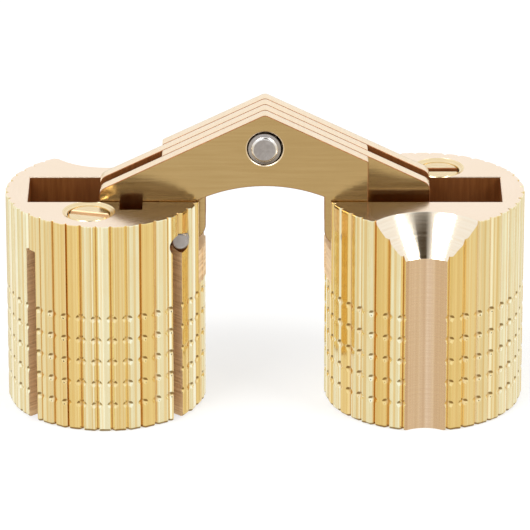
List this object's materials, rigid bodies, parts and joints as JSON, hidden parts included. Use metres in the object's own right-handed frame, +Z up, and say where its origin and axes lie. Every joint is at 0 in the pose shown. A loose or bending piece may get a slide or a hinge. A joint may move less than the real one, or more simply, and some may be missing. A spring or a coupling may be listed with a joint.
{
  "type": "invisible barrel hinge",
  "caption": "Concealed folding hinge: ribbed brass barrels for drilled holes, joined by riveted link plates that fold into slots, with an expansion screw in each barrel.",
  "frame": {"origin": "on the floor under the hinge, midway between the barrels", "axes": "+X from the left barrel to the right one, -Y the front, the folding axes along Y, +Z up"},
  "size_m": [0.0362, 0.014, 0.0218],
  "materials": {
    "barrel_brass": "turned, polished",
    "link_brass": "stamped, brushed",
    "pin_steel": "drawn wire",
    "screw_brass": "turned, slotted"
  },
  "bodies": {
    "left_barrel": {"left_barrel": "barrel_brass", "left_pivot_pin": "pin_steel"},
    "links_b": {"front_inner_link": "link_brass", "back_link": "link_brass", "right_slide_pin": "pin_steel"},
    "links_a": {"front_link": "link_brass", "back_inner_link": "link_brass", "left_slide_pin": "pin_steel", "centre_rivet": "pin_steel"},
    "right_barrel": {"right_barrel": "barrel_brass", "right_pivot_pin": "pin_steel"},
    "left_screw": {"left_expansion_screw": "screw_brass"},
    "right_screw": {"right_expansion_screw": "screw_brass"}
  },
  "joints": [
    {"name": "left_pivot", "type": "hinge", "parent": "left_barrel", "child": "links_b", "pos_m": [-0.00585, 0, 0.01327], "axis": [0, -1, 0], "range_deg": [0, 116]},
    {"name": "centre_pivot", "type": "hinge", "parent": "links_b", "child": "links_a", "pos_m": [0, 0, 0.0193], "axis": [0, -1, 0], "range_deg": [-52, 0]},
    {"name": "right_pivot", "type": "hinge", "parent": "links_a", "child": "right_barrel", "pos_m": [0.00585, 0, 0.01327], "axis": [0, -1, 0], "range_deg": [0, 116]},
    {"name": "left_screw_turn", "type": "hinge", "parent": "left_barrel", "child": "left_screw", "pos_m": [-0.01217, -0.00403, 0.0131], "axis": [0, 0, 1], "range_deg": [-720, 108]},
    {"name": "right_screw_turn", "type": "hinge", "parent": "right_barrel", "child": "right_screw", "pos_m": [0.01217, 0.00403, 0.0131], "axis": [0, 0, 1], "range_deg": [-720, 108]}
  ],
  "couplings": [
    {"joint": "centre_pivot", "follows": "left_pivot", "ratio": -0.44828},
    {"joint": "right_pivot", "follows": "left_pivot", "ratio": 1}
  ]
}
